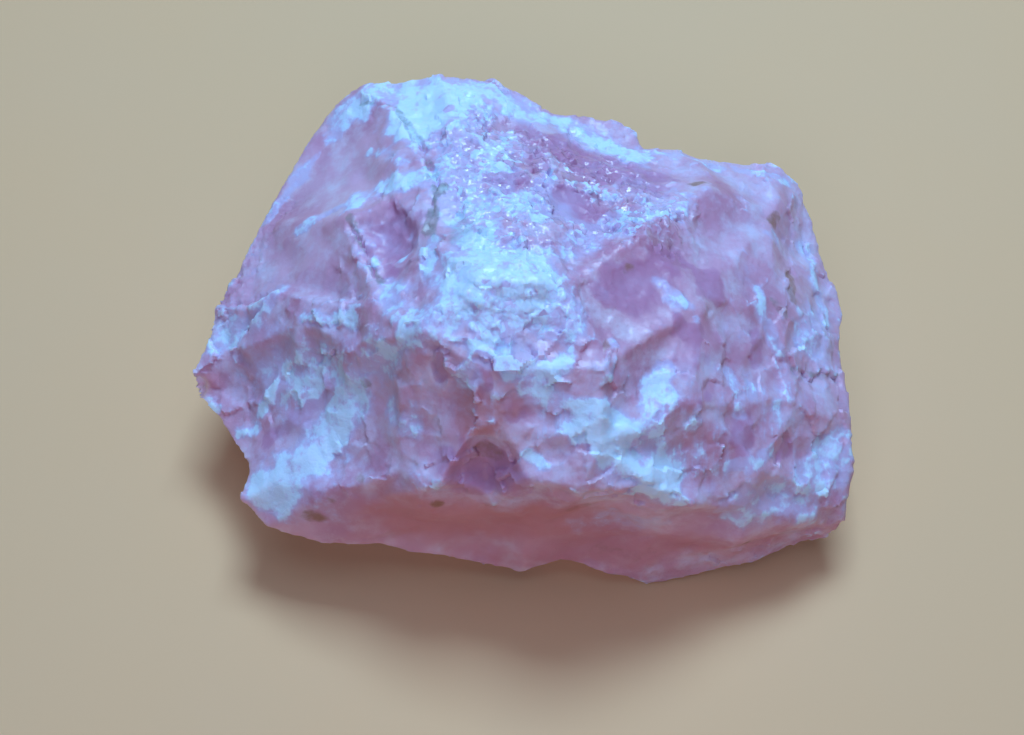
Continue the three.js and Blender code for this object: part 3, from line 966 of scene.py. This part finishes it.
SKINS = {
    Skin.HACKLE: (
        Oval(0.19, 0.72, 26, 28, 0.05),
        Oval(0.17, 0.52, 16, 12, 0.1),
        Oval(0.11, 0.38, 17, 10, 0.1, 25),
        Oval(0.82, 0.60, 20, 22, 0.25),
        Oval(0.68, 0.38, 18, 12, 0.1, 30),
        Oval(0.80, 0.24, 24, 18, 0.42),
        Oval(0.34, 0.20, 16, 16, 0.4),
        Oval(0.45, 0.28, 78, 22, 0.1, side=Side.FRONT),
        Stroke(((0.44, 0.20), (0.56, 0.18), (0.66, 0.17)), 11, 0.55),
        Oval(0.91, 0.42, 10, 20, 0.7),
        Stroke(((0.44, 0.225), (0.51, 0.215), (0.60, 0.215)), 6, 1.1),
        Stroke(((0.06, 0.27), (0.16, 0.31), (0.26, 0.36)), 5, 0.6),
        Stroke(((0.27, 0.60), (0.36, 0.66)), 5, 0.5),
        *(f.skin(0.0) for f in FACETS),
    ),
    Skin.GRAIN: (
        Oval(0.19, 0.70, 26, 28, 0.03),
        Oval(0.11, 0.38, 17, 10, 0.0, 25),
        Oval(0.45, 0.30, 78, 22, 0.0, side=Side.FRONT),
        Oval(0.82, 0.55, 22, 26, 0.05),
        Oval(0.57, 0.64, 34, 20, 0.9, -18),
        Oval(0.47, 0.62, 12, 34, 0.9, 8),
        Stroke(((0.05, 0.52), (0.09, 0.62), (0.13, 0.72)), 4, 0.4),
        Oval(0.50, 0.32, 18, 12, 0.5),
        Oval(0.58, 0.585, 7, 5, 0.0, -15),
        *(f.skin(0.0) for f in FACETS),
    ),
    # Frost, with a painted sheen and painted cool light on the slopes that face the lamps.
    Skin.FROST: (
        # the smooth slopes
        Oval(0.19, 0.74, 24, 26, 0.12),
        Oval(0.19, 0.53, 14, 12, 0.22),
        Oval(0.10, 0.385, 16, 8, 0.3, 25),
        Oval(0.80, 0.56, 22, 22, 0.24),
        Oval(0.68, 0.38, 22, 15, 0.06, 30),
        Oval(0.80, 0.20, 26, 14, 0.34),
        Oval(0.16, 0.29, 24, 17, 0.66, 30),
        Oval(0.45, 0.26, 80, 20, 0.05, side=Side.FRONT),
        # a painted lavender haze of cool light on the front face
        Oval(0.16, 0.38, 20, 10, 0.42, side=Side.FRONT),
        Oval(0.66, 0.36, 12, 6, 0.42, side=Side.FRONT),
        # the summit's back rim, frost with a painted sheen
        Stroke(((0.22, 0.92), (0.28, 0.95), (0.38, 0.93), (0.50, 0.90)), 6),
        Oval(0.37, 0.86, 13, 13, 1.35),
        Stroke(((0.10, 0.69), (0.15, 0.79), (0.21, 0.88)), 1.6, 0.8),
        Stroke(((0.50, 0.88), (0.56, 0.87), (0.62, 0.82), (0.68, 0.79)), 5),
        Stroke(((0.70, 0.80), (0.80, 0.79), (0.91, 0.78)), 1.6, 0.8),
        # between the summit and the plateau
        Stroke(((0.41, 0.80), (0.42, 0.70), (0.41, 0.60), (0.43, 0.50)), 7, 0.9),
        Oval(0.57, 0.68, 30, 18, 0.3, -18),
        Oval(0.46, 0.70, 8, 14, 0.65),
        Oval(0.50, 0.56, 14, 7, 0.85),
        Stroke(((0.54, 0.66), (0.53, 0.58)), 2.4, 0.9),
        Stroke(((0.58, 0.47), (0.64, 0.55), (0.72, 0.60)), 5, 0.7),
        Oval(0.70, 0.66, 9, 9, 0.45),
        Stroke(((0.25, 0.64), (0.30, 0.66), (0.36, 0.65)), 3.4),
        Stroke(((0.16, 0.62), (0.20, 0.635), (0.25, 0.64)), 1.2, 0.75),
        Stroke(((0.27, 0.78), (0.30, 0.75), (0.33, 0.70)), 1.8, 0.7),
        Oval(0.20, 0.83, 1.0, 2.0),
        Stroke(((0.285, 0.53), (0.29, 0.46)), 0.8, 0.8),
        Oval(0.335, 0.515, 1.8, 1.2),
        Oval(0.33, 0.46, 1.6, 1.4),
        Stroke(((0.375, 0.47), (0.37, 0.42)), 2.0),
        # the plateau, frost with a painted sheen
        Oval(0.47, 0.35, 16, 13, 1.25),
        Oval(0.54, 0.30, 10, 7),
        Oval(0.40, 0.30, 6, 8, 0.95),
        Oval(0.32, 0.38, 5, 5, 0.9),
        Oval(0.30, 0.27, 6, 6.5, 0.95),
        Oval(0.34, 0.27, 3, 5, 0.85),
        # below the plateau
        Stroke(((0.41, 0.25), (0.445, 0.235), (0.42, 0.205)), 1.3),
        Stroke(((0.46, 0.23), (0.50, 0.19), (0.54, 0.195)), 3.6, 1.05),
        Oval(0.555, 0.215, 3.4, 3.4),
        Oval(0.54, 0.265, 2.6, 2.2, 0.9),
        Oval(0.32, 0.20, 2.4, 3, 0.9),
        Oval(0.34, 0.155, 2.4, 4, 0.75),
        Oval(0.43, 0.19, 3.4, 3, 0.8),
        Stroke(((0.51, 0.085), (0.53, 0.062), (0.55, 0.056)), 1.5, 1.1),
        Stroke(((0.54, 0.155), (0.58, 0.12), (0.63, 0.11)), 4.5, 0.75),
        Stroke(((0.60, 0.11), (0.66, 0.10), (0.70, 0.06)), 7, 1.5),
        Stroke(((0.69, 0.15), (0.67, 0.11)), 4.0, 0.95),
        # the glassy dish's flakes and the shelf
        Stroke(((0.00, 0.44), (0.04, 0.42)), 3.4, 0.7),
        Stroke(((0.18, 0.395), (0.22, 0.37), (0.26, 0.36)), 2.4, 0.9),
        Stroke(((0.105, 0.285), (0.125, 0.305), (0.15, 0.335)), 2.0, 1.25),
        Stroke(((0.16, 0.33), (0.185, 0.345), (0.215, 0.335)), 1.2),
        Stroke(((0.165, 0.28), (0.17, 0.30)), 1.0),
        Stroke(((0.07, 0.255), (0.10, 0.25)), 1.8),
        Stroke(((0.02, 0.33), (0.03, 0.31)), 1.6, 0.9),
        Stroke(((0.25, 0.235), (0.22, 0.19), (0.17, 0.14), (0.12, 0.11)), 6, 1.2),
        Stroke(((0.21, 0.32), (0.24, 0.30)), 2.4, 0.6),
        # the east
        Stroke(((0.69, 0.41), (0.71, 0.385), (0.74, 0.365)), 2.0, 0.8),
        Stroke(((0.625, 0.265), (0.62, 0.195)), 1.0, 0.8),
        Stroke(((0.675, 0.17), (0.695, 0.20), (0.70, 0.235)), 2.8),
        Oval(0.745, 0.165, 1.4, 2.8, 0.9),
        Stroke(((0.80, 0.27), (0.81, 0.20)), 1.4, 0.9),
        Oval(0.83, 0.26, 1.6, 3, 0.9),
        Oval(0.87, 0.235, 1.4, 2.2),
        Stroke(((0.80, 0.115), (0.84, 0.12), (0.865, 0.16)), 1.6, 0.9),
        Oval(0.97, 0.22, 3.6, 3.4, 0.75),
        Stroke(((0.82, 0.40), (0.90, 0.34), (0.97, 0.34)), 6.0, 0.8, side=Side.FRONT),
        Stroke(((0.855, 0.46), (0.855, 0.41), (0.87, 0.36), (0.89, 0.33)), 1.8, 0.75),
        Oval(0.94, 0.42, 6, 9, 0.72),
        Stroke(((0.94, 0.63), (0.95, 0.57), (0.96, 0.50)), 2.2, 0.8),
        Oval(0.88, 0.60, 3, 2, 0.7),
        Oval(0.745, 0.345, 1.4, 1.4, 0.8),
    ),
    Skin.GLASS: (
        Oval(0.32, 0.535, 10, 8.5, 0.9),
        Oval(0.315, 0.43, 4, 2.6),
        Oval(0.575, 0.59, 11, 7, 1.0, -15),
        Oval(0.455, 0.63, 2.6, 3.2),
        Oval(0.49, 0.62, 4.4, 5),
        Oval(0.47, 0.53, 2, 1.6, 0.8),
        Oval(0.39, 0.85, 2.4, 2, 0.8),
        Stroke(((0.56, 0.78), (0.62, 0.71), (0.70, 0.69)), 7, 0.9),
        Stroke(((0.51, 0.84), (0.525, 0.68)), 3.4, 0.7),
        Oval(0.10, 0.37, 15, 7.5, 0.45, 28),
        Oval(0.12, 0.46, 12, 4, 0.4, 15),
        Stroke(((0.12, 0.22), (0.18, 0.24), (0.22, 0.27)), 2.4, 0.8),
        Oval(0.385, 0.225, 2.6, 5, 0.9),
        Oval(0.445, 0.175, 2.6, 5, 0.9),
        Oval(0.49, 0.14, 6, 3.4, 0.7),
        # clearer quartz, darkened further as painted shade on this slope
        Oval(0.66, 0.40, 15, 8, 0.8, 35),
        Oval(0.73, 0.26, 6, 5, 0.6),
        Oval(0.77, 0.43, 6, 6, 0.8),
        Oval(0.735, 0.315, 4, 4, 0.8),
        Oval(0.81, 0.15, 4, 7, 0.8),
        Oval(0.76, 0.21, 3, 3, 0.8),
        Oval(0.89, 0.18, 3, 4, 0.8),
        Oval(0.84, 0.34, 4, 5, 0.7),
        # clearer quartz, also painted shade in the front scallop
        Oval(0.44, 0.60, 12, 8, 0.9, side=Side.FRONT),
    ),
    # painted warm shade: the front face and the hollow below the plateau, redder and darker as in shade
    # lit by warm bounce
    Skin.BLUSH: (
        Oval(0.45, 0.36, 34, 14, 0.95, side=Side.FRONT),
        Oval(0.62, 0.20, 40, 8, 0.6, side=Side.FRONT),
        Oval(0.445, 0.145, 8, 5, 0.9),
    ),
    Skin.STREAK: (
        Oval(0.82, 0.18, 26, 16, 0.7),
        Oval(0.60, 0.12, 26, 10, 0.5),
        Oval(0.16, 0.30, 18, 8, 0.6, 40),
        Oval(0.35, 0.16, 16, 8, 0.4),
    ),
    Skin.GLINT: tuple(f.skin(1.0) for f in FACETS),
    Skin.IRON: (
        Oval(0.655, 0.43, 2.2, 1.8, 0.8),
        Oval(0.885, 0.65, 2.4, 1.3, 0.8, 20),
        Oval(0.765, 0.69, 2.4, 1.6, 1.1),
        Stroke(((0.91, 0.53), (0.905, 0.47)), 1.8, 0.8),
        Oval(0.445, 0.105, 4, 2.4, 0.6),
        Oval(0.615, 0.255, 1.0, 1.4, 0.6),
        Oval(0.28, 0.25, 1.4, 1.2, 0.6),
        Oval(0.275, 0.09, 2.6, 1.4, 0.7, -40),
        Oval(0.59, 0.46, 4.5, 2, 0.5, side=Side.FRONT),
        Oval(0.195, 0.34, 2.6, 3.0, 1.1, side=Side.FRONT),
        Oval(0.225, 0.42, 1.2, 1.6, side=Side.FRONT),
        Oval(0.385, 0.48, 1.8, 2.0, 1.1, side=Side.FRONT),
        Oval(0.83, 0.24, 1.8, 2.2, 1.1, side=Side.FRONT),
        Oval(0.64, 0.18, 8, 3, 0.35, side=Side.FRONT),
    ),
    # darker grey along the cracks and broken edges, and painted shade beside the plateau
    Skin.DIRT: (
        Stroke(((0.305, 0.89), (0.33, 0.82), (0.355, 0.74), (0.37, 0.65)), 1.0, 0.75),
        Stroke(((0.38, 0.60), (0.375, 0.55), (0.37, 0.50)), 1.8, 0.9),
        # painted shade between the knot and the plateau
        Oval(0.41, 0.48, 6, 5, 0.5),
        Stroke(((0.245, 0.59), (0.265, 0.53), (0.28, 0.47), (0.30, 0.41)), 1.0, 0.75),
        Stroke(((0.25, 0.93), (0.30, 0.90)), 0.6, 0.6),
        Stroke(((0.87, 0.45), (0.89, 0.42)), 1.4, 0.6),
        Stroke(((0.90, 0.325), (0.95, 0.335), (0.985, 0.36)), 0.9, 0.6),
    ),
}

MOUNDS = (
    Mound(0.87, 0.27, 26, 7, 1.5, side=Side.FRONT),
    Mound(0.42, 0.92, 14, 8, 0.6),
    Mound(0.50, 0.30, 16, 10, 0.5),
)

SCARPS = (
    Scarp(((0.38, 0.61), (0.30, 0.64), (0.22, 0.63), (0.12, 0.60)), 0.25, 4.0),
    Scarp(((0.19, 0.46), (0.11, 0.495), (0.05, 0.50), (0.02, 0.48)), 0.35, 3.0),
    Scarp(((0.27, 0.35), (0.21, 0.37), (0.17, 0.395)), 0.4, 3.0),
    Scarp(((0.08, 0.41), (0.04, 0.39), (0.00, 0.38)), 0.8, 4.0),
    Scarp(((0.99, 0.36), (0.95, 0.335), (0.90, 0.325)), 0.6, 2.5),
    Scarp(((0.90, 0.33), (0.87, 0.345), (0.855, 0.37)), 0.5, 2.0),
    Scarp(((0.74, 0.045), (0.68, 0.045), (0.62, 0.05)), 0.5, 2.5),
)

CRACKS = (
    Crack(((0.305, 0.89), (0.33, 0.82), (0.355, 0.74), (0.375, 0.62), (0.37, 0.50)), 0.8, 0.4),
    Crack(((0.24, 0.60), (0.265, 0.53), (0.28, 0.47), (0.30, 0.40)), 0.8, 0.4),
    Crack(((0.24, 0.935), (0.28, 0.91), (0.31, 0.89)), 0.3, 0.4),
)

FLAKES = (
    Flake(0.127, 0.31, 6.0, 2.0, 0.25, 50, 0.03),
    Flake(0.715, 0.385, 4.6, 1.8, 0.3, -30),
    Flake(0.623, 0.23, 5.2, 1.1, 0.25, 88),
    Flake(0.95, 0.385, 5, 6, 0.3),
    Flake(0.32, 0.535, 8.5, 7, -0.35, 0, 0.03),
    Flake(0.58, 0.585, 8, 5.5, -0.35, -15, 0.03),
    Flake(0.485, 0.61, 3, 3.4, -0.25),
    Flake(0.445, 0.175, 2.6, 5, -0.3),
    Flake(0.385, 0.225, 2.6, 5, -0.3),
)


@dataclass
class Stone:
    """The chunk itself: its remeshed copy, its sculpted marks, its relief and its finish."""

    voxel: float = 0.36
    soften: int = 16
    weld_gap: float = 0.001
    most_triangles: int = 190_000
    sharp_angle: float = 42.0

    def build(self) -> Piece:
        """Builds the stone as one closed piece, riding on the root body."""
        piece = self.copy()
        finish = RoseQuartz().build()
        surface = Surface(piece.data)
        sculptor = Sculptor(surface)
        for mark in MOUNDS:
            sculptor.mound(mark)
        for mark in SCARPS:
            sculptor.scarp(mark)
        for mark in FLAKES:
            sculptor.flake(mark)
        for mark in CRACKS:
            sculptor.crack(mark)
        for mark in FACETS:
            sculptor.facet(mark)
        surface.write()
        sculptor.paint(SKINS, BASE_SKINS)
        Relief().apply(piece, finish)
        self.thin(piece)
        self.keep_inside(piece.data)
        self.shade(piece)
        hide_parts(NODE)
        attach(piece, BODY)
        return piece

    def copy(self) -> Piece:
        """Copies the CAD stone, welds it and remeshes it finely."""
        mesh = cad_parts[NODE].data.copy()
        mesh.materials.clear()
        piece = bpy.data.objects.new("rose_quartz_stone", mesh)
        bpy.context.scene.collection.objects.link(piece)
        weld = piece.modifiers.new("weld", "WELD")
        weld.merge_threshold = self.weld_gap * MM
        remesh = piece.modifiers.new("remesh", "REMESH")
        remesh.mode = "VOXEL"
        remesh.voxel_size = self.voxel * MM
        soften = piece.modifiers.new("soften", "SMOOTH")
        soften.iterations = self.soften
        bake_modifiers(piece)
        return piece

    def thin(self, piece: Piece) -> None:
        """Collapses the flattest faces until the piece is light enough."""
        triangles = triangle_count(piece.data)
        LOG.info("%d triangles before thinning", triangles)
        if triangles > self.most_triangles:
            thin = piece.modifiers.new("thin", "DECIMATE")
            thin.ratio = self.most_triangles / triangles
            bake_modifiers(piece)

    def keep_inside(self, mesh: bpy.types.Mesh) -> None:
        """Holds every vertex inside the CAD box."""
        flat = np.zeros(len(mesh.vertices) * 3, np.float32)
        mesh.vertices.foreach_get("co", flat)
        held = np.clip(flat.reshape(-1, 3), np.array(cad_box[0]), np.array(cad_box[1]))
        mesh.vertices.foreach_set("co", held.astype(np.float32).ravel())
        mesh.update()

    def shade(self, piece: Piece) -> None:
        """Shades the piece smooth, with its broken edges left sharp."""
        piece.data.shade_smooth()
        piece.data.set_sharp_from_angle(angle=math.radians(self.sharp_angle))


@dataclass(frozen=True)
class Softbox:
    """A soft rectangular light: its place and size in stone lengths, its watts and its colour."""

    name: str
    place: Triple
    size: tuple[float, float]
    power: float
    colour: Triple


@dataclass(frozen=True)
class Studio:
    """The plain pale floor, the camera, the cool light from the back and the warm bounce in front."""

    length: float = cad_box[1][0] - cad_box[0][0]
    aim: Triple = (0.488, 0.382, 0.383)
    elevation: float = 62.0
    distance: float = 2.585
    lens: float = 60.0
    nearest: float = 0.01
    softboxes: tuple[Softbox, ...] = (
        Softbox("window", (0.5, 2.7, 5.4), (2.3, 1.9), 2.95, (0.39, 0.69, 0.98)),
        Softbox("sky", (0.0, 0.5, 6.2), (5.0, 4.0), 0.85, (0.44, 0.66, 1.0)),
        Softbox("ceiling", (-0.6, -3.4, 4.0), (3.0, 2.0), 0.46, (0.42, 0.60, 1.0)),
        Softbox("bounce", (0.3, -5.0, 1.4), (4.0, 1.6), 0.3, (1.0, 0.70, 0.56)),
    )
    room: Colour = (1.0, 0.9, 0.82, 1.0)
    room_light: float = 0.02
    floor_reach: float = 14.0
    floor: Colour = srgb(224, 173, 128)
    mottle: Colour = (0.5, 0.47, 0.42, 1.0)
    mottle_size: float = 30.0
    mottle_mix: float = 0.08

    def build(self) -> None:
        """Builds the whole studio."""
        self.camera()
        for softbox in self.softboxes:
            self.light(softbox)
        self.world()
        self.ground()

    def target(self) -> Vector:
        """Returns the point that the camera aims at, from shares of the CAD box."""
        low, high = (Vector(corner) for corner in cad_box)
        return Vector(a + share * (b - a) for a, b, share in zip(low, high, self.aim))

    def camera(self) -> None:
        """Places the camera, which looks down on the stone's front."""
        data = bpy.data.cameras.new("camera")
        data.lens = self.lens
        data.clip_start = self.nearest
        camera = bpy.data.objects.new("camera", data)
        bpy.context.scene.collection.objects.link(camera)
        tilt = math.radians(self.elevation)
        back = Vector((0.0, -math.cos(tilt), math.sin(tilt)))
        camera.location = self.target() + back * self.distance * self.length
        camera.rotation_euler = (math.pi / 2 - tilt, 0.0, 0.0)
        bpy.context.scene.camera = camera

    def light(self, softbox: Softbox) -> None:
        """Adds one softbox, which faces the stone."""
        data = bpy.data.lights.new(softbox.name, "AREA")
        data.shape = "RECTANGLE"
        data.size, data.size_y = (side * self.length for side in softbox.size)
        data.energy = softbox.power
        data.color = softbox.colour
        light = bpy.data.objects.new(softbox.name, data)
        light.location = Vector(softbox.place) * self.length
        light.rotation_euler = (self.target() - light.location).to_track_quat("-Z", "Y").to_euler()
        bpy.context.scene.collection.objects.link(light)

    def world(self) -> None:
        """Fills the room with a dim warm light."""
        world = bpy.data.worlds.new("room")
        world.use_nodes = True
        background = world.node_tree.nodes["Background"]
        background.inputs["Color"].default_value = self.room
        background.inputs["Strength"].default_value = self.room_light
        bpy.context.scene.world = world
        bpy.context.scene.view_settings.view_transform = "Standard"

    def ground(self) -> Piece:
        """Builds the floor with its faintly mottled paint."""
        half = self.floor_reach * self.length
        mesh = bpy.data.meshes.new("floor")
        corners = [(-half, -half, 0), (half, -half, 0), (half, half, 0), (-half, half, 0)]
        mesh.from_pydata(corners, [], [(0, 1, 2, 3)])
        material = bpy.data.materials.new("floor_paint")
        material.use_nodes = True
        material.node_tree.nodes.clear()
        tree = Tree(material.node_tree)
        place = tree.node("ShaderNodeTexCoord").outputs["Object"]
        mottle = tree.times(tree.noise(place, self.mottle_size, detail=4.0), self.mottle_mix)
        shade = tree.colour(mottle, self.floor, self.mottle)
        shader = tree.node("ShaderNodeBsdfPrincipled", {"Base Color": shade, "Roughness": 0.7})
        tree.node("ShaderNodeOutputMaterial", {"Surface": shader.outputs[0]})
        mesh.materials.append(material)
        floor = bpy.data.objects.new("floor", mesh)
        bpy.context.scene.collection.objects.link(floor)
        return floor


def main() -> None:
    """Builds the studio and the stone."""
    logging.basicConfig(level=logging.INFO, format="%(name)s: %(message)s")
    Studio().build()
    stone = Stone().build()
    LOG.info("%s: %d triangles", stone.name, triangle_count(stone.data))


if __name__ == "__main__":
    main()
